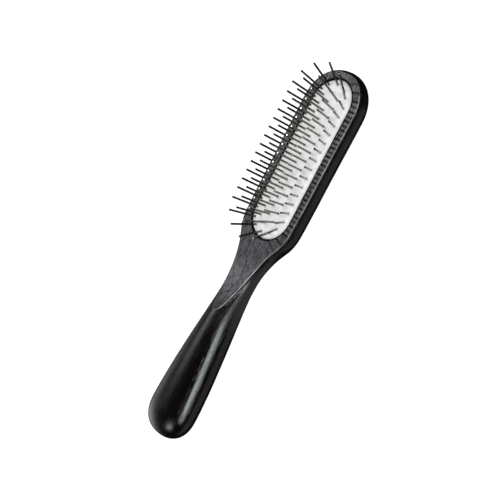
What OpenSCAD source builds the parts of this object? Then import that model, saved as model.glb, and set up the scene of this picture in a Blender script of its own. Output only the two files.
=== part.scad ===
/* [Wooden body] */
// Overall length, butt to head tip
total_l = 228; // [222:1:236]
// Height of the head's flat face above the back
face_h = 14; // [13.5:0.5:15]
// Radius of the scoop that runs the face out onto the handle
scoop_r = 119; // [109:2:133]
// Depth of the cushion pocket below the face
pocket_depth = 8; // [7:0.5:8.5]

/* [Cushion] */
// Half width of the cushion where it meets the face
pad_hw = 14.6; // [14.2:0.1:14.8]
// Half length of the cushion
pad_hl = 48.3; // [47.5:0.1:48.6]
// Centre of the cushion along the brush
pad_x = 59.5; // [59:0.1:60]
// Rise of the dome above the face
dome_rise = 2.35; // [2:0.05:2.8]
// Radius of the dome across the brush
dome_r = 60; // [50:1:75]
// Wall of the moulded membrane
wall = 1.8; // [1.6:0.1:2]

/* [Pins] */
// Shank diameter
pin_d = 1.2; // [0.9:0.05:1.25]
// Length that stands out of the cushion
pin_out = 15.4; // [12:0.2:18]
// Head diameter behind the membrane
head_d = 2.3; // [2:0.1:2.4]
// Head thickness
head_t = 0.5; // [0.4:0.05:0.6]
// Pitch along a row
pitch = 5.3; // [5.1:0.05:5.35]
// First rows' distance from the centre row
row_1 = 6.1; // [5.8:0.1:6.3]
// Outer rows' distance from the centre row
row_2 = 12; // [11.6:0.1:12.1]
// Outward lean of the first rows, degrees
lean_1 = 18; // [10:1:20]
// Outward lean of the outer rows, degrees
lean_2 = 32; // [20:1:33]

/* [Hidden] */
$fa = 6;
$fs = 0.4;

half = total_l / 2;
butt_l = 16.9;   // length of the rounded butt
tip_l = 22.7;    // length of the rounded head end
ring_n = 48;
scoop_x = 0;     // where the flat face starts to rise

// stations along the body and the half width at each
wx = [-114, -98, -81, -60, -48, -38, -26, -17, -9, -2, 3, 8, 12, 18, 24, 32, 60, 90];
ww = [16.6, 17, 16.1, 13.9, 12.4, 11.1, 10.3, 10.3, 10.9, 12.6, 14.4, 17, 19.3, 21.1, 21.4, 21.6, 21.8, 22.2];
// stations for the heights: back, widest level and crown of the uncut blank
hx = [-114, -90, -60, -38, -17, -2, 12, 24, 32, 90];
low = [0.1, 0.2, 1.3, 2.4, 3.9, 3, 1, -0.1, -0.15, -0.15];
mid = [12.9, 11.7, 10.9, 10.4, 10.7, 10.4, 10.1, 10.1, 10.2, 10.4];
top = [21.4, 21.9, 21.2, 19.9, 17.4, 18.7, 20.4, 20.3, 20.5, 20.1];

function clamp01(v) = min(1, max(0, v));
function smooth(a, b, x) = let (t = clamp01((x - a) / (b - a))) t * t * (3 - 2 * t);
function slope(xs, ys, i) = (ys[i + 1] - ys[i]) / (xs[i + 1] - xs[i]);
function tangent(xs, ys, i) =
    i == 0 ? slope(xs, ys, 0) :
    i == len(xs) - 1 ? 0 :
    (slope(xs, ys, i - 1) * (xs[i + 1] - xs[i]) + slope(xs, ys, i) * (xs[i] - xs[i - 1])) / (xs[i + 1] - xs[i - 1]);
function seg(xs, x, i = 0) = i >= len(xs) - 2 || x < xs[i + 1] ? i : seg(xs, x, i + 1);
function curve(xs, ys, x) =
    let (c = min(max(x, xs[0]), xs[len(xs) - 1]), i = seg(xs, c),
         h = xs[i + 1] - xs[i], t = (c - xs[i]) / h,
         m0 = tangent(xs, ys, i), m1 = tangent(xs, ys, i + 1))
    (2 * t * t * t - 3 * t * t + 1) * ys[i] + (t * t * t - 2 * t * t + t) * h * m0
    + (3 * t * t - 2 * t * t * t) * ys[i + 1] + (t * t * t - t * t) * h * m1;
function spow(v, p) = (v < 0 ? -1 : 1) * pow(abs(v), p);
// table position that belongs to a place along the body
function tx(x) = x * 228 / total_l;
function butt_f(x) = let (v = clamp01((butt_l - half - x) / butt_l)) pow(1 - pow(v, 2.6), 1 / 2.6);
function tip_f(x, p) = let (u = clamp01((x - half + tip_l) / tip_l)) pow(1 - pow(u, p), 1 / p);
lift = face_h / 14;
function ring(x) =
    let (t = tx(x), g = butt_f(x), gw = g * tip_f(x, 2.2), gt = g * tip_f(x, 2),
         w = curve(wx, ww, t) * gw,
         m = curve(hx, mid, t) * lift,
         up = (curve(hx, top, t) * lift - m) * gt,
         dn = (m - curve(hx, low, t)) * gt,
         e = 2 / (2 + 0.35 * smooth(-14, 19, t)))
    [for (k = [0 : ring_n - 1])
        let (a = 360 * k / ring_n, s = spow(sin(a), e))
        [x, w * spow(cos(a), e), m + s * (s > 0 ? up : dn)]];
stations = concat(
    [for (k = [1 : 9]) butt_l * (1 - cos(10 * k)) - half],
    [for (k = [1 : 19]) butt_l - half + k * (half - butt_l - 11) / 19],
    [for (k = [1 : 20]) -11 + k * 1.8],
    [for (k = [1 : 6]) 25 + k * (half - tip_l - 25) / 7],
    [for (k = [0 : 11]) half - tip_l + tip_l * sin(7.5 * k)]);
m_butt = curve(hx, mid, -114) * lift;
m_tip = curve(hx, mid, 90) * lift;

module blank() {
    n = len(stations);
    pts = concat([[-half, 0, m_butt]], [for (x = stations) each ring(x)], [[half, 0, m_tip]]);
    last = len(pts) - 1;
    faces = concat(
        [for (k = [0 : ring_n - 1]) [0, 1 + k, 1 + (k + 1) % ring_n]],
        [for (i = [0 : n - 2], k = [0 : ring_n - 1])
            let (a = 1 + i * ring_n + k, b = 1 + i * ring_n + (k + 1) % ring_n) [a, a + ring_n, b]],
        [for (i = [0 : n - 2], k = [0 : ring_n - 1])
            let (a = 1 + i * ring_n + k, b = 1 + i * ring_n + (k + 1) % ring_n) [b, a + ring_n, b + ring_n]],
        [for (k = [0 : ring_n - 1]) [last, last - ring_n + (k + 1) % ring_n, last - ring_n + k]]);
    polyhedron(points = pts, faces = faces, convexity = 6);
}

// everything above the flat face and the scoop
module face_cut() {
    rotate([90, 0, 0]) linear_extrude(70, center = true) {
        translate([scoop_x, face_h]) square([half + 20, 30]);
        intersection() {
            translate([scoop_x, face_h + scoop_r]) circle(scoop_r);
            translate([scoop_x - 52, face_h]) square([52.01, 30]);
        }
    }
}

// a prism with rounded ends, standing on the plane z
module stadium(hw, hl, z, h) {
    translate([pad_x, 0, z]) linear_extrude(h) {
        square([2 * (hl - hw), 2 * hw], center = true);
        translate([hl - hw, 0]) circle(hw);
        translate([hw - hl, 0]) circle(hw);
    }
}

lip_h = 1.6;      // wood lip that grips the rim
groove_h = 1.8;   // height of the undercut
module wooden_body() {
    color([0.08, 0.07, 0.07])
    difference() {
        blank();
        face_cut();
        translate([-half - 5, -40, -10]) cube([total_l + 10, 80, 10]);
        stadium(pad_hw + 0.2, pad_hl + 0.2, face_h - pocket_depth, pocket_depth + 5);
        stadium(pad_hw + 1.4, pad_hl + 1.4, face_h - lip_h - groove_h, groove_h);
    }
}

// half of the membrane's section, x outwards from the spine, y up from the face
edge_r = 3;
edge_y = dome_rise - dome_r + sqrt(pow(dome_r - edge_r, 2) - pow(pad_hw - edge_r, 2));
tan_x = (pad_hw - edge_r) * dome_r / (dome_r - edge_r);
rim_y = -lip_h - groove_h;
module outer_half() {
    intersection() {
        translate([0, dome_rise - dome_r]) circle(dome_r);
        translate([0, rim_y]) square([tan_x, 8]);
    }
    intersection() {
        translate([pad_hw - edge_r, edge_y]) circle(edge_r);
        translate([tan_x - 0.3, edge_y]) square([edge_r + 1, 3]);
    }
    translate([0, rim_y]) square([pad_hw, edge_y - rim_y]);
    translate([0, rim_y]) square([pad_hw + 1.3, groove_h - 0.05]);
}
module inner_half() {
    intersection() {
        translate([0, dome_rise - dome_r]) circle(dome_r - wall);
        translate([0, rim_y - 1]) square([pad_hw - wall, 8]);
    }
}
module dome(end_a) {
    // end_a selects the section: 0 outer, 1 inner
    s = pad_hl - pad_hw;
    translate([pad_x, 0, face_h]) {
        rotate([90, 0, 90]) linear_extrude(2 * s, center = true) {
            pick(end_a);
            mirror([1, 0]) pick(end_a);
        }
        translate([s, 0, 0]) rotate([0, 0, -90]) rotate_extrude(angle = 180) pick(end_a);
        translate([-s, 0, 0]) rotate([0, 0, 90]) rotate_extrude(angle = 180) pick(end_a);
    }
}
module pick(which) {
    if (which == 0) outer_half();
    else inner_half();
}

// pin places
end_out = 0.9;   // the last staggered ranks stand a little further out
end_in = 2.2;    // the outer pins of the last full ranks stand further in
sink = 1.5;      // depth of the pin heads' seats, from the dome along the pin
bore_gap = 0.02;
// height of the dome at a place
function spine(x) = max(0, abs(x - pad_x) - (pad_hl - pad_hw));
function dome_z(x, y) = let (q = norm([spine(x), y])) face_h + dome_rise - dome_r + sqrt(dome_r * dome_r - q * q);
function lean_x(x) = let (u = (x - pad_x) / (8.5 * pitch)) 0.035 * u + 0.54 * pow(u, 7);
// ranks are numbered from the handle: odd ranks hold the centre row's pin, even ranks the first rows' two
function rank_x(r) =
    r % 2 == 1 ? pad_x + ((r - 1) / 2 - 8.5) * pitch :
    pad_x + (r / 2 - 9) * pitch + (r == 2 ? -end_out : r == 34 ? end_out : 0);
function rank_y(r) =
    r == 1 || r == 35 ? [0] :
    r % 2 == 0 ? [-row_1, row_1] :
    r == 3 || r == 33 ? [end_in - row_2, 0, row_2 - end_in] :
    [-row_2, 0, row_2];
function lean_y(y) = abs(y) < 0.1 ? 0 : (y < 0 ? -1 : 1) * tan(abs(y) > 8 ? lean_2 : lean_1);

module at_pin(x, y) {
    d = [lean_x(x), lean_y(y), 1];
    translate([x, y, dome_z(x, y)])
        rotate([0, acos(1 / norm(d)), atan2(d[1], d[0])]) children();
}
tip_r = 5;       // crown radius of a pin's tip
tip_c = 0.15;    // radius of the tip's corner
pin_l = sink + head_t + pin_out;
corner_z = pin_l - tip_r + sqrt(pow(tip_r - tip_c, 2) - pow(pin_d / 2 - tip_c, 2));
corner_x = (pin_d / 2 - tip_c) * tip_r / (tip_r - tip_c);
module pin() {
    translate([0, 0, -sink - head_t]) rotate_extrude() {
        square([head_d / 2, head_t]);
        square([pin_d / 2, corner_z]);
        intersection() {
            translate([pin_d / 2 - tip_c, corner_z]) circle(tip_c, $fn = 16);
            translate([corner_x - 0.05, corner_z]) square(1);
        }
        intersection() {
            translate([0, pin_l - tip_r]) circle(tip_r);
            translate([0, corner_z - 1]) square([corner_x, 3]);
        }
    }
}
module seat() {
    translate([0, 0, -sink - 0.5]) cylinder(h = sink + 1.5, r = pin_d / 2 + bore_gap);
    translate([0, 0, -sink - 3]) cylinder(h = 3, r = head_d / 2 + 0.05);
}
module rank(r) {
    color([0.75, 0.76, 0.78])
    for (y = rank_y(r)) at_pin(rank_x(r), y) pin();
}

module rubber_cushion() {
    color([0.93, 0.93, 0.92])
    difference() {
        dome(0);
        dome(1);
        for (r = [1 : 35], y = rank_y(r)) at_pin(rank_x(r), y) seat();
    }
}

wooden_body();
rubber_cushion();
rank(1);  // pin_rank_01
rank(2);  // pin_rank_02
rank(3);  // pin_rank_03
rank(4);  // pin_rank_04
rank(5);  // pin_rank_05
rank(6);  // pin_rank_06
rank(7);  // pin_rank_07
rank(8);  // pin_rank_08
rank(9);  // pin_rank_09
rank(10);  // pin_rank_10
rank(11);  // pin_rank_11
rank(12);  // pin_rank_12
rank(13);  // pin_rank_13
rank(14);  // pin_rank_14
rank(15);  // pin_rank_15
rank(16);  // pin_rank_16
rank(17);  // pin_rank_17
rank(18);  // pin_rank_18
rank(19);  // pin_rank_19
rank(20);  // pin_rank_20
rank(21);  // pin_rank_21
rank(22);  // pin_rank_22
rank(23);  // pin_rank_23
rank(24);  // pin_rank_24
rank(25);  // pin_rank_25
rank(26);  // pin_rank_26
rank(27);  // pin_rank_27
rank(28);  // pin_rank_28
rank(29);  // pin_rank_29
rank(30);  // pin_rank_30
rank(31);  // pin_rank_31
rank(32);  // pin_rank_32
rank(33);  // pin_rank_33
rank(34);  // pin_rank_34
rank(35);  // pin_rank_35
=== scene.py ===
import math

import bpy
import numpy as np
from mathutils import Matrix, Vector


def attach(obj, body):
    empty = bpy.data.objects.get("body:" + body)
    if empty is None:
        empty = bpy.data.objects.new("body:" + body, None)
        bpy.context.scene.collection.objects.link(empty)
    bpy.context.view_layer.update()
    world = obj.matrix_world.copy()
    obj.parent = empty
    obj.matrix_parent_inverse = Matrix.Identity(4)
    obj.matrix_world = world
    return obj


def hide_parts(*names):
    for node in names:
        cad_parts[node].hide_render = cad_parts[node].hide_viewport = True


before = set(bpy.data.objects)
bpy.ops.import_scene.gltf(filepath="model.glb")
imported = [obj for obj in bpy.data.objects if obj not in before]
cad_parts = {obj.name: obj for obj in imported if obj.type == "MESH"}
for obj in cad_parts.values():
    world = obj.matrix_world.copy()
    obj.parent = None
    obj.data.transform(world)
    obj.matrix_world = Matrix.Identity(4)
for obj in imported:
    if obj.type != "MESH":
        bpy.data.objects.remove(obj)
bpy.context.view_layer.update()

MM = 0.001

# ---------------------------------------------------------------- shared dimensions (mm)
HALF = 114.0
FACE = 14.0
SCOOP_R, SCOOP_X = 119.0, 0.0
BUTT_L, TIP_L = 16.9, 22.7
PAD_X, PAD_HW, PAD_HL = 59.5, 14.6, 48.3
RISE, DOME_R, WALL, EDGE_R = 2.35, 60.0, 1.8, 3.0
POCKET = 8.0
LIP, GROOVE = 1.6, 1.8
PITCH, ROW_1, ROW_2 = 5.3, 6.1, 12.0
LEAN_1, LEAN_2 = 18.0, 32.0
END_OUT, END_IN = 0.9, 2.2
PIN_R, PIN_OUT, SINK, HEAD_T, HEAD_R = 0.6, 15.4, 1.5, 0.5, 1.15
TIP_R, TIP_C = 5.0, 0.15     # crown and corner radius of a pin's tip

WX = [-114, -98, -81, -60, -48, -38, -26, -17, -9, -2, 3, 8, 12, 18, 24, 32, 60, 90]
WW = [16.6, 17, 16.1, 13.9, 12.4, 11.1, 10.3, 10.3, 10.9, 12.6, 14.4, 17, 19.3, 21.1, 21.4, 21.6, 21.8, 22.2]
HX = [-114, -90, -60, -38, -17, -2, 12, 24, 32, 90]
LOW = [0.1, 0.2, 1.3, 2.4, 3.9, 3, 1, -0.1, -0.15, -0.15]
MID = [12.9, 11.7, 10.9, 10.4, 10.7, 10.4, 10.1, 10.1, 10.2, 10.4]
TOP = [21.4, 21.9, 21.2, 19.9, 17.4, 18.7, 20.4, 20.3, 20.5, 20.1]


def curve(xs, ys, x):
    """Smooth curve through the stations, the same one that the body's source uses."""
    xs, ys = np.asarray(xs, float), np.asarray(ys, float)
    dx, d = np.diff(xs), np.diff(ys) / np.diff(xs)
    m = np.zeros_like(ys)
    m[0] = d[0]
    m[1:-1] = (d[:-1] * dx[1:] + d[1:] * dx[:-1]) / (xs[2:] - xs[:-2])
    x = min(max(x, xs[0]), xs[-1])
    i = int(min(np.searchsorted(xs, x, side="right") - 1, len(xs) - 2))
    h = dx[i]
    t = (x - xs[i]) / h
    return (
        (2 * t**3 - 3 * t**2 + 1) * ys[i]
        + (t**3 - 2 * t**2 + t) * h * m[i]
        + (3 * t**2 - 2 * t**3) * ys[i + 1]
        + (t**3 - t**2) * h * m[i + 1]
    )


def clamp01(v):
    return min(1.0, max(0.0, v))


def smooth(a, b, x):
    t = clamp01((x - a) / (b - a))
    return t * t * (3 - 2 * t)


def blank(x):
    """(half width, widest level, rise above it, drop below it, exponent) of the uncut wooden blank at x."""
    v, u = clamp01((BUTT_L - HALF - x) / BUTT_L), clamp01((x - HALF + TIP_L) / TIP_L)
    g = (1 - v**2.6) ** (1 / 2.6)
    gw = g * (1 - u**2.2) ** (1 / 2.2)
    gt = g * (1 - u**2) ** 0.5
    m = curve(HX, MID, x)
    return (
        curve(WX, WW, x) * gw,
        m,
        (curve(HX, TOP, x) - m) * gt,
        (m - curve(HX, LOW, x)) * gt,
        2 + 0.35 * smooth(-14, 19, x),
    )


def face_z(x):
    """Level of the flat face and of the scoop that runs out of it."""
    d = SCOOP_X - x
    if d <= 0:
        return FACE
    if d >= 60:
        return FACE + 40
    return FACE + SCOOP_R - math.sqrt(SCOOP_R**2 - d * d)


def mesh_object(name, verts, faces, mat, smooth_shade=True):
    me = bpy.data.meshes.new(name)
    me.from_pydata([tuple(v) for v in verts], [], [tuple(f) for f in faces])
    me.validate(verbose=False)
    me.update()
    if smooth_shade:
        me.shade_smooth()
    ob = bpy.data.objects.new(name, me)
    bpy.context.scene.collection.objects.link(ob)
    me.materials.append(mat)
    return ob


# ---------------------------------------------------------------- node material helpers
def new_mat(name):
    mat = bpy.data.materials.new(name)
    mat.use_nodes = True
    nt = mat.node_tree
    nt.nodes.clear()
    out = nt.nodes.new("ShaderNodeOutputMaterial")
    bsdf = nt.nodes.new("ShaderNodeBsdfPrincipled")
    nt.links.new(bsdf.outputs["BSDF"], out.inputs["Surface"])
    return mat, nt, bsdf


def node(nt, kind, **props):
    n = nt.nodes.new(kind)
    for k, v in props.items():
        setattr(n, k, v)
    return n


def coords(nt, scale, rot=(0, 0, 0), loc=(0, 0, 0)):
    """Object coordinates, in units that scale gives per metre."""
    tc = node(nt, "ShaderNodeTexCoord")
    mp = node(nt, "ShaderNodeMapping")
    mp.inputs["Scale"].default_value = scale
    mp.inputs["Rotation"].default_value = rot
    mp.inputs["Location"].default_value = loc
    nt.links.new(tc.outputs["Object"], mp.inputs["Vector"])
    return mp.outputs["Vector"]


def noise(nt, vec, scale, detail=4.0, rough=0.55, distortion=0.0):
    n = node(nt, "ShaderNodeTexNoise")
    n.inputs["Scale"].default_value = scale
    n.inputs["Detail"].default_value = detail
    n.inputs["Roughness"].default_value = rough
    n.inputs["Distortion"].default_value = distortion
    nt.links.new(vec, n.inputs["Vector"])
    return n.outputs["Fac"]


def ramp(nt, fac, stops):
    r = node(nt, "ShaderNodeValToRGB")
    el = r.color_ramp.elements
    while len(el) < len(stops):
        el.new(0.5)
    for e, (p, c) in zip(el, stops):
        e.position = p
        e.color = (c, c, c, 1) if isinstance(c, (int, float)) else (*c, 1)
    nt.links.new(fac, r.inputs["Fac"])
    return r.outputs["Color"]


def maths(nt, op, a, b):
    n = node(nt, "ShaderNodeMath", operation=op)
    for i, v in enumerate((a, b)):
        if isinstance(v, (int, float)):
            n.inputs[i].default_value = v
        else:
            nt.links.new(v, n.inputs[i])
    return n.outputs[0]


def mix(nt, fac, a, b, mode="MIX"):
    n = node(nt, "ShaderNodeMix", data_type="RGBA", blend_type=mode)
    for key, v in ((0, fac), (6, a), (7, b)):
        if isinstance(v, (int, float)):
            n.inputs[key].default_value = v
        elif isinstance(v, tuple):
            n.inputs[key].default_value = (*v, 1)
        else:
            nt.links.new(v, n.inputs[key])
    return n.outputs[2]


def bump(nt, height, strength, distance, normal=None):
    b = node(nt, "ShaderNodeBump")
    if isinstance(strength, (int, float)):
        b.inputs["Strength"].default_value = strength
    else:
        nt.links.new(strength, b.inputs["Strength"])
    b.inputs["Distance"].default_value = distance
    nt.links.new(height, b.inputs["Height"])
    if normal is not None:
        nt.links.new(normal, b.inputs["Normal"])
    return b.outputs["Normal"]


# ---------------------------------------------------------------- materials
def grain(nt):
    """The wood's lengthwise grain, its broad tone and its open pores."""
    turn = (0, 0, math.radians(4))
    fine = noise(nt, coords(nt, (60, 1000, 1000), turn), 1.0, 6.0, 0.62, 0.3)
    broad = noise(nt, coords(nt, (12, 170, 170), turn, (3, 1, 2)), 1.0, 4.0, 0.55, 0.6)
    pores = noise(nt, coords(nt, (150, 1700, 1700), turn, (7, 5, 1)), 1.0, 2.0, 0.5, 0.4)
    mask = ramp(nt, pores, [(0.0, 1.0), (0.34, 1.0), (0.44, 0.0), (1.0, 0.0)])
    return fine, broad, mask


def wood_material():
    mat, nt, bs = new_mat("black_stained_wood")
    fine, broad, pore_mask = grain(nt)
    streak = ramp(nt, fine, [(0.32, (0.0012, 0.0009, 0.0009)), (0.52, (0.0030, 0.0022, 0.0022)), (0.72, (0.0100, 0.0076, 0.0076))])
    tone = ramp(nt, broad, [(0.3, 0.6), (0.7, 1.4)])
    col = mix(nt, 1.0, streak, tone, "MULTIPLY")
    col = mix(nt, pore_mask, col, (0.0008, 0.0006, 0.0006))
    # painted highlight: the pale line along the near edge of the face is painted into the base colour
    edge = node(nt, "ShaderNodeAttribute", attribute_type="GEOMETRY", attribute_name="edge").outputs["Fac"]
    patchy = ramp(nt, noise(nt, coords(nt, (160, 160, 160), (0, 0, 0), (2, 6, 4)), 1.0, 2.0, 0.5), [(0.35, 0.45), (0.6, 1.0)])
    col = mix(nt, maths(nt, "MULTIPLY", edge, patchy), col, (0.42, 0.41, 0.41))
    # painted sheen: the neck's flank is set a little paler, and its coat thinner so that its highlight is dimmer
    painted_neck_sheen = node(nt, "ShaderNodeAttribute", attribute_type="GEOMETRY", attribute_name="painted_neck_sheen").outputs["Fac"]
    col = mix(nt, maths(nt, "MULTIPLY", painted_neck_sheen, 0.8), col, (0.026, 0.025, 0.025))
    nt.links.new(col, bs.inputs["Base Color"])
    nt.links.new(ramp(nt, fine, [(0.3, 0.5), (0.7, 0.62)]), bs.inputs["Roughness"])
    bs.inputs["Specular IOR Level"].default_value = 0.0
    # painted shade: the dark line along the near edge has its coat taken off; the neck's painted sheen has it thinned
    painted_dark_line = node(nt, "ShaderNodeAttribute", attribute_type="GEOMETRY", attribute_name="painted_dark_line").outputs["Fac"]
    dull = maths(nt, "MAXIMUM", maths(nt, "MULTIPLY", painted_neck_sheen, 0.85), maths(nt, "MULTIPLY", painted_dark_line, 0.92))
    nt.links.new(maths(nt, "SUBTRACT", 1.0, dull), bs.inputs["Coat Weight"])
    bs.inputs["Coat Roughness"].default_value = 0.11
    bs.inputs["Coat IOR"].default_value = 1.5
    n1 = bump(nt, fine, 0.5, 0.00015)
    n2 = bump(nt, pore_mask, 0.5, -0.00006, n1)
    nt.links.new(n2, bs.inputs["Normal"])
    # the turned handle is smoother under its lacquer than the sawn face
    flat = node(nt, "ShaderNodeAttribute", attribute_type="GEOMETRY", attribute_name="sawn").outputs["Fac"]
    c1 = bump(nt, fine, maths(nt, "ADD", maths(nt, "MULTIPLY", flat, 0.26), 0.13), 0.00010)
    c2 = bump(nt, pore_mask, maths(nt, "ADD", maths(nt, "MULTIPLY", flat, 0.6), 0.32), -0.00008, c1)
    nt.links.new(c2, bs.inputs["Coat Normal"])
    return mat


def pocket_material():
    """The stained, unlacquered wood inside the pocket."""
    mat, nt, bs = new_mat("bare_stained_wood")
    fine, broad, pore_mask = grain(nt)
    col = ramp(nt, fine, [(0.3, (0.0030, 0.0026, 0.0026)), (0.7, (0.0090, 0.0075, 0.0075))])
    nt.links.new(mix(nt, pore_mask, col, (0.0015, 0.0012, 0.0012)), bs.inputs["Base Color"])
    nt.links.new(ramp(nt, broad, [(0.3, 0.75), (0.7, 0.9)]), bs.inputs["Roughness"])
    bs.inputs["Specular IOR Level"].default_value = 0.1
    nt.links.new(bump(nt, fine, 0.6, 0.0002), bs.inputs["Normal"])
    return mat


def rubber_material():
    mat, nt, bs = new_mat("white_rubber")
    mott = noise(nt, coords(nt, (260, 260, 260)), 1.0, 3.0, 0.5)
    col = ramp(nt, mott, [(0.3, (0.67, 0.655, 0.65)), (0.7, (0.82, 0.80, 0.795))])
    # painted shade: a dark ring in the colour round each pin's foot
    seat = node(nt, "ShaderNodeAttribute", attribute_type="GEOMETRY", attribute_name="seat")
    nt.links.new(mix(nt, seat.outputs["Fac"], col, (0.16, 0.155, 0.15)), bs.inputs["Base Color"])
    grit = noise(nt, coords(nt, (3000, 3000, 3000)), 1.0, 2.0, 0.5)
    nt.links.new(ramp(nt, mott, [(0.3, 0.42), (0.7, 0.55)]), bs.inputs["Roughness"])
    bs.inputs["Subsurface Weight"].default_value = 0.12
    bs.inputs["Subsurface Radius"].default_value = (0.0012, 0.0012, 0.0011)
    nt.links.new(bump(nt, grit, 0.12, 0.00003), bs.inputs["Normal"])
    return mat


def with_painted_pin_shade(nt, col, much):
    """The steel's colour with painted shade: darker towards the ends of the outer rows, for the dark reflections these
    pins show. Why they look darker isn't known.
    """
    dull = node(nt, "ShaderNodeAttribute", attribute_type="GEOMETRY", attribute_name="painted_pin_shade").outputs["Fac"]
    return mix(nt, maths(nt, "MULTIPLY", dull, much), col, (0.02, 0.019, 0.017))


def steel_material():
    mat, nt, bs = new_mat("polished_steel")
    tone = noise(nt, coords(nt, (400, 400, 400)), 1.0, 2.0, 0.5)
    col = ramp(nt, tone, [(0.3, (0.165, 0.152, 0.125)), (0.7, (0.225, 0.208, 0.178))])
    # painted shade on the outer rows' pins
    nt.links.new(with_painted_pin_shade(nt, col, 0.75), bs.inputs["Base Color"])
    bs.inputs["Metallic"].default_value = 1.0
    scratch = noise(nt, coords(nt, (9000, 9000, 500)), 1.0, 2.0, 0.5)
    nt.links.new(ramp(nt, scratch, [(0.3, 0.10), (0.7, 0.20)]), bs.inputs["Roughness"])
    nt.links.new(bump(nt, scratch, 0.1, 0.00001), bs.inputs["Normal"])
    return mat


def tip_material():
    """The pins' ground and polished ends."""
    mat, nt, bs = new_mat("ground_steel_tip")
    tone = noise(nt, coords(nt, (900, 900, 900)), 1.0, 2.0, 0.5)
    col = ramp(nt, tone, [(0.3, (0.86, 0.85, 0.82)), (0.7, (0.95, 0.94, 0.92))])
    # painted shade on the outer rows' tips
    nt.links.new(with_painted_pin_shade(nt, col, 0.8), bs.inputs["Base Color"])
    bs.inputs["Metallic"].default_value = 1.0
    bs.inputs["Roughness"].default_value = 0.12
    return mat


WOOD, BARE, RUBBER, STEEL, TIP = wood_material(), pocket_material(), rubber_material(), steel_material(), tip_material()


# ---------------------------------------------------------------- wooden body
ARRIS_R, TONGUE_R, RIDGE = 1.6, 0.9, 0.10   # radius of the face's edge on the head and on the neck, and height of the faint ridge left along the neck's


def body_stations():
    xs = [-HALF + BUTT_L * (1 - math.cos(math.radians(90 * k / 40))) for k in range(1, 41)]
    xs += list(np.linspace(BUTT_L - HALF, -46, 52)[1:])
    xs += list(np.linspace(-46, -26, 61)[1:])
    xs += list(np.linspace(-26, 34, 86)[1:])
    xs += list(np.linspace(34, HALF - TIP_L, 30)[1:-1])
    xs += [HALF - TIP_L + TIP_L * math.sin(math.radians(90 * k / 84)) for k in range(0, 84)]
    return xs


def ring_points(x, n_low=68, n_edge=30, n_top=14):
    w, m, up, dn, e = blank(x)
    zf = face_z(x)
    v = (zf - m) / max(up, 1e-6)
    cap = math.radians(84)
    if v < 1:
        ye = w * (1 - v**e) ** (1 / e)
        te = min(math.atan2(zf - m, ye), cap)
        tilt = math.atan2((ye / w) ** (e - 1) / w, max((zf - m) / up, 1e-6) ** (e - 1) / up)
    else:
        te, tilt = cap, 0.1
    reach = math.hypot(w, up) * 0.8
    arris = TONGUE_R + (ARRIS_R - TONGUE_R) * smooth(-14, 14, x)
    d = min((0.4 + arris) / max(reach, 0.5), (math.pi / 2 - te) * 0.45, te * 0.5)
    low = -math.pi / 2 + (te - d + math.pi / 2) * np.linspace(0, 1, n_low, endpoint=False)
    edge = te - d + 2 * d * np.linspace(0, 1, n_edge, endpoint=False)
    top = te + d + (math.pi / 2 - te - d) * np.linspace(0, 1, n_top + 1)
    a = np.concatenate([low, edge, top])
    a = np.concatenate([a, math.pi - a[-2:0:-1]])
    c, s = np.cos(a), np.sin(a)
    h = np.where(s > 0, up, dn)
    rb = (np.abs(c / max(w, 1e-6)) ** e + np.abs(s / np.maximum(h, 1e-6)) ** e) ** (-1 / e)
    # the flat face and the land on the back, each with a small rounded edge
    rp = np.where(s > 1e-6, (zf - m) / np.maximum(s, 1e-6), 1e9)
    rf = np.where(s < -1e-6, m / np.maximum(-s, 1e-6), 1e9)
    depth = arris * (1 / math.cos(max(tilt, 0.3) / 2) - 1) / math.sin(tilt / 2 + te)
    k = max(8.0, 0.693 * reach / 0.8 / depth)
    q = np.minimum(np.minimum(rb, rp), rf)
    r = q * ((q / rb) ** k + (q / rp) ** k) ** (-1 / k)
    if v < 1:
        edge = math.hypot(ye, zf - m)
        ridge = RIDGE * (1 - smooth(0.8, 1.15, tilt)) * smooth(0.12, 0.3, tilt)
        for side in (te, math.pi - te):
            off = (side - a) * edge * (1 if side == te else -1)
            r = r + ridge * np.exp(-(((off - 0.25) / 0.28) ** 2))
    r = np.minimum(r, rf)
    return np.stack([np.full_like(c, x), r * c, m + r * s], 1)


def edge_line(x, y):
    """A painted highlight line just inside the near edge of the face, and a painted dark line outside it, where the
    coat is taken off and the neck's painted sheen is left out. The pale line just inside the near edge of the face and
    the dark one outside it, set by eye. They may be reflections in the real object.
    """
    w, m, up, dn, e = blank(x)
    v = (face_z(x) - m) / max(up, 1e-6)
    if v >= 1 or y > 0:
        return 0.0, 0.0
    inside = w * (1 - v**e) ** (1 / e) + y
    middle = 1.12 - 0.5 * smooth(4, 30, x)
    strength = 0.6 + 0.4 * smooth(-36, -28, x) * (1 - smooth(-9, -3, x)) + 0.3 * smooth(8, 20, x)
    run = smooth(-44, -40, x) * (1 - smooth(98, 106, x))
    return strength * run * math.exp(-(((inside - middle) / 0.28) ** 2)), run * math.exp(-(((inside - middle + 0.72) / 0.36) ** 2))


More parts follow.
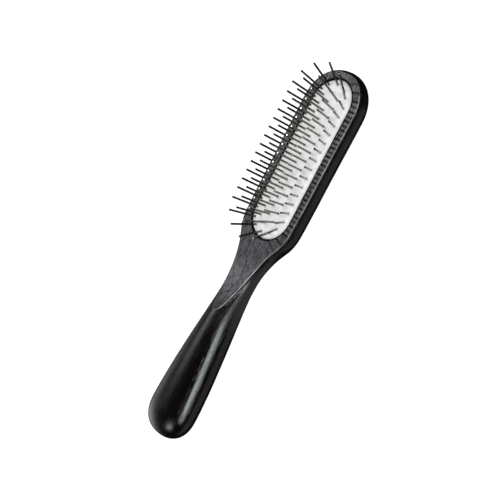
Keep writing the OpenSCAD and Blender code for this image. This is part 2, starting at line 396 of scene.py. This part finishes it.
def build_body():
    xs = body_stations()
    rings = [ring_points(x) for x in xs]
    n = len(rings[0])
    pts = [np.array([[-HALF, 0, curve(HX, MID, -114)]])] + rings + [np.array([[HALF, 0, curve(HX, MID, 90)]])]
    verts = np.concatenate(pts) * MM
    last = len(verts) - 1
    faces = []
    k = np.arange(n)
    k2 = (k + 1) % n
    for a, b in zip(k, k2):
        faces.append((0, 1 + b, 1 + a))
        faces.append((last, last - n + a, last - n + b))
    for i in range(len(rings) - 1):
        o = 1 + i * n
        faces += [(o + a, o + b, o + n + b, o + n + a) for a, b in zip(k, k2)]
    body = mesh_object("wooden_body_fine", verts, faces, WOOD)

    # the pocket, with a rounded mouth and the undercut for the cushion's rim
    hw = PAD_HW + 0.2
    r, step = 0.6, 0.04
    prof = [(0.0, FACE - POCKET), (hw - 0.6, FACE - POCKET), (hw, FACE - POCKET + 0.6)]
    prof += [(hw, FACE - LIP - GROOVE), (PAD_HW + 1.4, FACE - LIP - GROOVE), (PAD_HW + 1.4, FACE - LIP), (hw, FACE - LIP)]
    prof += [(hw + r * (1 - math.cos(math.radians(t))), FACE - r + r * math.sin(math.radians(t)) - step) for t in range(0, 91, 10)]
    prof += [(hw + r + 0.5, FACE - step), (hw + r + 0.55, FACE + 6), (0.0, FACE + 6)]
    cutter = stadium_sweep("pocket_cutter", prof, 168, 70, WOOD)
    for me in (body.data, cutter.data):
        me.materials.append(BARE)
    cutter.data.polygons.foreach_set("material_index", [1] * len(cutter.data.polygons))
    mod = body.modifiers.new("pocket", "BOOLEAN")
    mod.operation, mod.solver, mod.object = "DIFFERENCE", "EXACT", cutter
    dg = bpy.context.evaluated_depsgraph_get()
    made = bpy.data.meshes.new_from_object(body.evaluated_get(dg), depsgraph=dg)
    body.modifiers.clear()
    old = body.data
    body.data = made
    bpy.data.meshes.remove(old)
    cm = cutter.data
    bpy.data.objects.remove(cutter)
    bpy.data.meshes.remove(cm)
    body.data.shade_smooth()
    body.data.set_sharp_from_angle(angle=math.radians(40))
    co = np.empty(len(body.data.vertices) * 3)
    body.data.vertices.foreach_get("co", co)
    co = co.reshape(-1, 3) / MM
    deep = np.array([face_z(x) for x in co[:, 0]]) - co[:, 2]
    flat = np.exp(-((np.maximum(deep, 0) / 0.5) ** 2))
    # painted sheen: where the neck's flank is set paler and its coat thinner
    neck_sheen_mask = np.array([smooth(-50, -27, x) * (1 - smooth(-8, 8, x)) for x in co[:, 0]])
    neck_sheen_mask *= 1 - np.exp(-((np.maximum(deep, 0) / 1.1) ** 2))
    # painted highlight line and painted dark line along the near edge of the face
    line = np.array([edge_line(x, y) for x, y in co[:, :2]]) * np.exp(-((deep[:, None] / [0.6, 0.9]) ** 2))
    for name, value in (("sawn", flat), ("painted_neck_sheen", neck_sheen_mask * (1 - line[:, 1])), ("edge", line[:, 0]), ("painted_dark_line", line[:, 1])):
        at = body.data.attributes.new(name, "FLOAT", "POINT")
        at.data.foreach_set("value", value.astype(np.float32))
    body.name = "wooden_body_fine"
    return body


def stadium_path(hw, n_side, n_end):
    """Places round a rounded oblong: (spine x, outward direction)."""
    s = PAD_HL - PAD_HW
    out = []
    for t in np.linspace(-s, s, n_side, endpoint=False):
        out.append((PAD_X + t, 0.0, -1.0))
    for t in np.linspace(-90, 90, n_end, endpoint=False):
        a = math.radians(t)
        out.append((PAD_X + s, math.cos(a), math.sin(a)))
    for t in np.linspace(s, -s, n_side, endpoint=False):
        out.append((PAD_X + t, 0.0, 1.0))
    for t in np.linspace(90, 270, n_end, endpoint=False):
        a = math.radians(t)
        out.append((PAD_X - s, math.cos(a), math.sin(a)))
    return np.array(out)


def stadium_sweep(name, prof, n_side, n_end, mat, height=None):
    """A closed form with a rounded oblong plan. prof runs from the spine outwards and back to the spine: (distance, level)."""
    path = stadium_path(PAD_HW, n_side, n_end)
    n = len(path)
    verts, faces = [], []
    ring_start = []
    for q, z in prof:
        ring_start.append(len(verts))
        if q <= 1e-9:
            # the spine: one point for each place of the lower side, shared with the upper one
            xs = np.concatenate([path[: n_side, 0], [PAD_X + PAD_HL - PAD_HW]])
            verts += [(x, 0.0, z) for x in xs]
        else:
            verts += [(p[0] + q * p[1], q * p[2], z) for p in path]

    def index(ring, i):
        i %= n
        if prof[ring][0] > 1e-9:
            return ring_start[ring] + i
        if i < n_side:
            return ring_start[ring] + i
        if i <= n_side + n_end:
            return ring_start[ring] + n_side
        if i < 2 * n_side + n_end:
            return ring_start[ring] + n_side - (i - n_side - n_end)
        return ring_start[ring]

    for j in range(len(prof) - 1):
        if prof[j][0] <= 1e-9 and prof[j + 1][0] <= 1e-9:
            continue
        for i in range(n):
            f = []
            for v in (index(j, i), index(j, i + 1), index(j + 1, i + 1), index(j + 1, i)):
                if v not in f:
                    f.append(v)
            if len(f) >= 3:
                faces.append(f)
    v = np.array(verts, float)
    if height is not None:
        v = height(v)
    ob = mesh_object(name, v * MM, faces, mat)
    import bmesh
    bm = bmesh.new()
    bm.from_mesh(ob.data)
    bmesh.ops.recalc_face_normals(bm, faces=bm.faces)
    bm.to_mesh(ob.data)
    bm.free()
    return ob


# ---------------------------------------------------------------- pins
def spine_gap(x):
    return max(0.0, abs(x - PAD_X) - (PAD_HL - PAD_HW))


def dome_z(x, y):
    q = math.hypot(spine_gap(x), y)
    return FACE + RISE - DOME_R + math.sqrt(DOME_R**2 - q * q)


def pin_places():
    """[(rank, foot on the dome, direction)] for every pin, in mm."""
    out = []
    for r in range(1, 36):
        if r % 2:
            x = PAD_X + ((r - 1) / 2 - 8.5) * PITCH
        else:
            x = PAD_X + (r / 2 - 9) * PITCH + (-END_OUT if r == 2 else END_OUT if r == 34 else 0)
        if r in (1, 35):
            ys = [0.0]
        elif r % 2 == 0:
            ys = [-ROW_1, ROW_1]
        elif r in (3, 33):
            ys = [END_IN - ROW_2, 0.0, ROW_2 - END_IN]
        else:
            ys = [-ROW_2, 0.0, ROW_2]
        u = (x - PAD_X) / (8.5 * PITCH)
        lx = 0.035 * u + 0.54 * u**7
        for y in ys:
            ly = 0.0 if abs(y) < 0.1 else math.copysign(math.tan(math.radians(LEAN_2 if abs(y) > 8 else LEAN_1)), y)
            d = Vector((lx, ly, 1.0)).normalized()
            out.append((r, Vector((x, y, dome_z(x, y))), d))
    return out


PINS = pin_places()


def build_pins():
    """One object for each crosswise rank. Each pin is a lathed form: flat head, straight wire and a polished round tip."""
    l0 = -SINK - HEAD_T
    prof = [(0.0, l0), (HEAD_R - 0.1, l0), (HEAD_R, l0 + 0.1), (HEAD_R, l0 + HEAD_T - 0.08), (HEAD_R - 0.08, l0 + HEAD_T), (PIN_R + 0.02, l0 + HEAD_T), (PIN_R, l0 + HEAD_T + 0.03)]
    end = PIN_OUT
    zc = end - TIP_R + math.sqrt((TIP_R - TIP_C) ** 2 - (PIN_R - TIP_C) ** 2)
    a0 = math.degrees(math.acos((PIN_R - TIP_C) / (TIP_R - TIP_C)))
    prof += [(PIN_R, l0 + HEAD_T + 1.0 + t * (zc - l0 - HEAD_T - 1.0)) for t in (0.0, 0.25, 0.5, 0.75, 0.97, 1.0)]
    prof += [(PIN_R - TIP_C + TIP_C * math.cos(math.radians(t)), zc + TIP_C * math.sin(math.radians(t))) for t in np.linspace(0, a0, 6)[1:]]
    rt = (PIN_R - TIP_C) * TIP_R / (TIP_R - TIP_C)
    prof += [(rt * t, end - TIP_R + math.sqrt(TIP_R**2 - (rt * t) ** 2)) for t in (0.75, 0.5, 0.25)]
    prof += [(0.0, end)]
    seg = 20
    made = []
    for r in range(1, 36):
        verts, faces, tips, dull = [], [], [], []
        for rank, foot, d in PINS:
            if rank != r:
                continue
            q = Vector((0, 0, 1)).rotation_difference(d).to_matrix()
            rows = []
            for rad, l in prof:
                # painted shade: the outer rows' pins darken towards their tips
                dull += [smooth(1.5, 7.5, l) if abs(foot.y) > 8 else 0.0] * (1 if rad <= 1e-9 else seg)
                if rad <= 1e-9:
                    rows.append([len(verts)])
                    verts.append((foot + q @ Vector((0, 0, l))) * MM)
                else:
                    rows.append(list(range(len(verts), len(verts) + seg)))
                    for k in range(seg):
                        a = 2 * math.pi * k / seg
                        verts.append((foot + q @ Vector((rad * math.cos(a), rad * math.sin(a), l))) * MM)
            for j, (ra, rb) in enumerate(zip(rows, rows[1:])):
                tips += [1 if j >= len(rows) - 8 else 0] * seg
                for k in range(seg):
                    k2 = (k + 1) % seg
                    if len(ra) == 1:
                        faces.append((ra[0], rb[k2], rb[k]))
                    elif len(rb) == 1:
                        faces.append((ra[k], ra[k2], rb[0]))
                    else:
                        faces.append((ra[k], ra[k2], rb[k2], rb[k]))
        name = "pin_rank_%02d" % r
        ob = mesh_object(name + "_fine", verts, faces, STEEL)
        ob.data.set_sharp_from_angle(angle=math.radians(50))
        ob.data.materials.append(TIP)
        ob.data.polygons.foreach_set("material_index", tips)
        ob.data.attributes.new("painted_pin_shade", "FLOAT", "POINT").data.foreach_set("value", dull)
        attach(ob, "root")
        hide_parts(name)
        made.append(ob)
    return made


# ---------------------------------------------------------------- rubber cushion
def build_cushion():
    edge_y = RISE - DOME_R + math.sqrt((DOME_R - EDGE_R) ** 2 - (PAD_HW - EDGE_R) ** 2)
    tan_x = (PAD_HW - EDGE_R) * DOME_R / (DOME_R - EDGE_R)
    rim = -LIP - GROOVE
    prof = [(q, RISE - DOME_R + math.sqrt(DOME_R**2 - q * q)) for q in np.linspace(0, tan_x, 46)]
    a1 = math.degrees(math.asin((PAD_HW - EDGE_R) / (DOME_R - EDGE_R)))
    for t in np.linspace(90 - a1, 0, 11)[1:]:
        prof.append((PAD_HW - EDGE_R + EDGE_R * math.cos(math.radians(t)), edge_y + EDGE_R * math.sin(math.radians(t))))
    prof += [(PAD_HW, -LIP + 0.15), (PAD_HW + 0.1, -LIP - 0.05), (PAD_HW + 1.1, -LIP - 0.05), (PAD_HW + 1.3, -LIP - 0.25), (PAD_HW + 1.3, rim), (PAD_HW - WALL, rim)]
    ri = DOME_R - WALL
    zi = RISE - DOME_R + math.sqrt(ri**2 - (PAD_HW - WALL) ** 2)
    prof += [(PAD_HW - WALL, zi - 0.3)]
    prof += [(q, RISE - DOME_R + math.sqrt(ri**2 - q * q)) for q in np.linspace(PAD_HW - WALL - 0.2, 0, 12)]
    prof = [(float(q), FACE + float(z)) for q, z in prof]
    outer = FACE - LIP

    feet = np.array([[f.x, f.y] for _, f, _ in PINS])

    near = []

    def relief(v):
        # the rubber is drawn down a little round each pin, with a faint collar at the wire
        top = v[:, 2] > FACE + 0.1
        # only the outer skin: its level is close to the dome's
        lvl = np.array([dome_z(x, y) if abs(y) < 30 else 0 for x, y in v[:, :2]])
        skin = top & (v[:, 2] > lvl - 0.6)
        d = np.full(len(v), 99.0)
        for fx, fy in feet:
            d = np.minimum(d, np.hypot(v[:, 0] - fx, v[:, 1] - fy))
        dip = -0.16 * np.exp(-((d / 1.5) ** 2)) + 0.12 * np.exp(-(((d - 0.62) / 0.22) ** 2))
        v[skin, 2] += dip[skin]
        # painted shade: a dark ring round each pin's foot, carried to the colour
        near.append(np.where(skin, 0.75 * np.exp(-((d / 0.85) ** 4)), 0.0))
        return v

    ob = stadium_sweep("rubber_cushion_fine", prof, 190, 84, RUBBER, height=relief)
    ob.data.set_sharp_from_angle(angle=math.radians(60))
    seat = ob.data.attributes.new("seat", "FLOAT", "POINT")
    seat.data.foreach_set("value", near[0].astype(np.float32))
    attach(ob, "root")
    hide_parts("rubber_cushion")
    return ob


body = build_body()
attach(body, "root")
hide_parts("wooden_body")
cushion = build_cushion()
pins = build_pins()


# ---------------------------------------------------------------- floor
def build_floor():
    mat, nt, bs = new_mat("pale_floor")
    spot = noise(nt, coords(nt, (6, 6, 6)), 1.0, 3.0, 0.5)
    nt.links.new(ramp(nt, spot, [(0.3, 0.30), (0.7, 0.32)]), bs.inputs["Base Color"])
    bs.inputs["Roughness"].default_value = 0.9
    bs.inputs["Specular IOR Level"].default_value = 0.1
    bs.inputs["Emission Color"].default_value = (1, 1, 1, 1)
    bs.inputs["Emission Strength"].default_value = 0.9
    s = 4.0
    ob = mesh_object("floor", [(-s, -s, 0), (s, -s, 0), (s, s, 0), (-s, s, 0)], [(0, 1, 2, 3)], mat)
    ob.location.z = -0.00005
    ob.visible_glossy = False
    return ob


build_floor()


# ---------------------------------------------------------------- camera
SCALE = 0.555           # mm in the object for one of the photograph's pixels at the target
ELEV, YAW, ROLL = 43.984, 8.0, -6.941
DIST = 555.0
TURN = 61.011           # the photograph's turn against the level view


def build_camera():
    e, psi, rho, turn = map(math.radians, (ELEV, YAW, ROLL, TURN))
    back = Vector((math.sin(psi) * math.cos(e), -math.cos(psi) * math.cos(e), math.sin(e)))
    right = (-back).cross(Vector((0, 0, 1))).normalized()
    up = right.cross(-back)
    r2 = right * math.cos(rho) + up * math.sin(rho)
    u2 = up * math.cos(rho) - right * math.sin(rho)
    r3 = r2 * math.cos(turn) - u2 * math.sin(turn)
    u3 = r2 * math.sin(turn) + u2 * math.cos(turn)
    place = Vector((2.11, 0, FACE)) + back * DIST
    aim = Vector((2.11, 0, FACE)) + u2 * (2.85 * SCALE)
    back2 = (place - aim).normalized()
    u4 = (u3 - back2 * u3.dot(back2)).normalized()
    r4 = u4.cross(back2)
    cam = bpy.data.cameras.new("camera")
    ob = bpy.data.objects.new("camera", cam)
    bpy.context.scene.collection.objects.link(ob)
    cam.sensor_width = 36.0
    cam.lens = 72.0
    cam.clip_start, cam.clip_end = 0.01, 20.0
    m = Matrix((r4, u4, back2)).transposed().to_4x4()
    m.translation = place * MM
    ob.matrix_world = m
    bpy.context.scene.camera = ob
    return ob


build_camera()


# ---------------------------------------------------------------- light
def area(name, place, aim, size, power, colour=(1, 1, 1)):
    li = bpy.data.lights.new(name, "AREA")
    li.shape = "RECTANGLE"
    li.size, li.size_y = size
    li.energy = power
    li.color = colour
    ob = bpy.data.objects.new(name, li)
    bpy.context.scene.collection.objects.link(ob)
    ob.location = place
    ob.rotation_euler = (Vector(aim) - Vector(place)).to_track_quat("-Z", "Y").to_euler()
    return ob


# soft lights that lift the cushion; they draw no highlight of their own
for name, place, size, power in (("far_fill", (0.22, 0.45, 0.72), (0.6, 0.5), 4.2), ("near_fill", (0.12, -0.60, 0.50), (0.5, 0.4), 2.2)):
    area(name, place, (0.06, 0, 0.01), size, power).visible_glossy = False


def build_world():
    """A dark room with a long softbox on the near side, a window in the far wall and a small lamp beyond the butt."""
    world = bpy.data.worlds.new("studio")
    bpy.context.scene.world = world
    world.use_nodes = True
    nt = world.node_tree
    nt.nodes.clear()
    out = nt.nodes.new("ShaderNodeOutputWorld")
    bg = nt.nodes.new("ShaderNodeBackground")
    tc = nt.nodes.new("ShaderNodeTexCoord")
    sep = nt.nodes.new("ShaderNodeSeparateXYZ")
    nt.links.new(tc.outputs["Generated"], sep.inputs[0])
    x, y, z = sep.outputs

    def step(v, lo, hi):
        """0 at lo and 1 at hi, smoothly."""
        n = nt.nodes.new("ShaderNodeMapRange")
        n.interpolation_type = "SMOOTHSTEP"
        if lo < hi:
            n.inputs["From Min"].default_value, n.inputs["From Max"].default_value = lo, hi
        else:
            n.inputs["From Min"].default_value, n.inputs["From Max"].default_value = hi, lo
            n.inputs["To Min"].default_value, n.inputs["To Max"].default_value = 1.0, 0.0
        nt.links.new(v, n.inputs["Value"])
        return n.outputs["Result"]

    def glow(cos, spread, power):
        """A round soft light: power where cos is 1, falling off as the angle's Gaussian."""
        return maths(nt, "MULTIPLY", maths(nt, "EXPONENT", maths(nt, "DIVIDE", maths(nt, "SUBTRACT", cos, 1.0), spread), 0.0), power)

    def toward(d):
        n = nt.nodes.new("ShaderNodeVectorMath")
        n.operation = "DOT_PRODUCT"
        n.inputs[1].default_value = Vector(d).normalized()
        nt.links.new(tc.outputs["Generated"], n.inputs[0])
        return n.outputs["Value"]

    # softbox: Gaussian in height, level along its length
    yz = maths(nt, "SQRT", maths(nt, "ADD", maths(nt, "MULTIPLY", y, y), maths(nt, "MULTIPLY", z, z)), 0.0)
    rise = maths(nt, "ADD", maths(nt, "MULTIPLY", y, -0.682), maths(nt, "MULTIPLY", z, 0.731))
    yz = maths(nt, "MAXIMUM", yz, 0.001)
    key = glow(maths(nt, "DIVIDE", rise, yz), 0.048, 8.4)
    height = maths(nt, "DIVIDE", z, yz)
    key = maths(nt, "MULTIPLY", key, maths(nt, "MULTIPLY", step(height, 0.24, 0.45), step(height, 0.87, 0.77)))
    key = maths(nt, "MULTIPLY", key, maths(nt, "MULTIPLY", step(x, -0.42, -0.16), step(x, 0.42, 0.22)))
    window = glow(toward((0.05, 0.668, 0.743)), 0.021, 3.5)
    lamp = glow(toward((-0.66, -0.07, 0.74)), 0.016, 5.0)
    side = glow(toward((-0.54, 0.837, 0.087)), 0.06, 1.6)
    below = maths(nt, "MULTIPLY", step(z, -0.02, -0.25), step(y, -0.25, -0.6))
    below = maths(nt, "MULTIPLY", maths(nt, "MULTIPLY", below, step(x, 0.6, 0.3)), 0.34)
    cool = maths(nt, "ADD", key, lamp)
    rest = maths(nt, "ADD", maths(nt, "ADD", side, below), 0.012)
    a = mix(nt, 1.0, (0.92, 1.0, 1.01), cool, "MULTIPLY")
    b = mix(nt, 1.0, (1.0, 0.985, 1.06), window, "MULTIPLY")
    total = mix(nt, 1.0, mix(nt, 1.0, a, b, "ADD"), rest, "ADD")
    nt.links.new(total, bg.inputs["Color"])
    bg.inputs["Strength"].default_value = 1.0
    # the backdrop itself is pale: the room is only seen in reflections
    pale = nt.nodes.new("ShaderNodeBackground")
    pale.inputs["Color"].default_value = (1, 1, 1, 1)
    path = nt.nodes.new("ShaderNodeLightPath")
    pick = nt.nodes.new("ShaderNodeMixShader")
    nt.links.new(path.outputs["Is Camera Ray"], pick.inputs["Fac"])
    nt.links.new(bg.outputs["Background"], pick.inputs[1])
    nt.links.new(pale.outputs["Background"], pick.inputs[2])
    nt.links.new(pick.outputs["Shader"], out.inputs["Surface"])


build_world()
bpy.context.scene.view_settings.view_transform = "Standard"
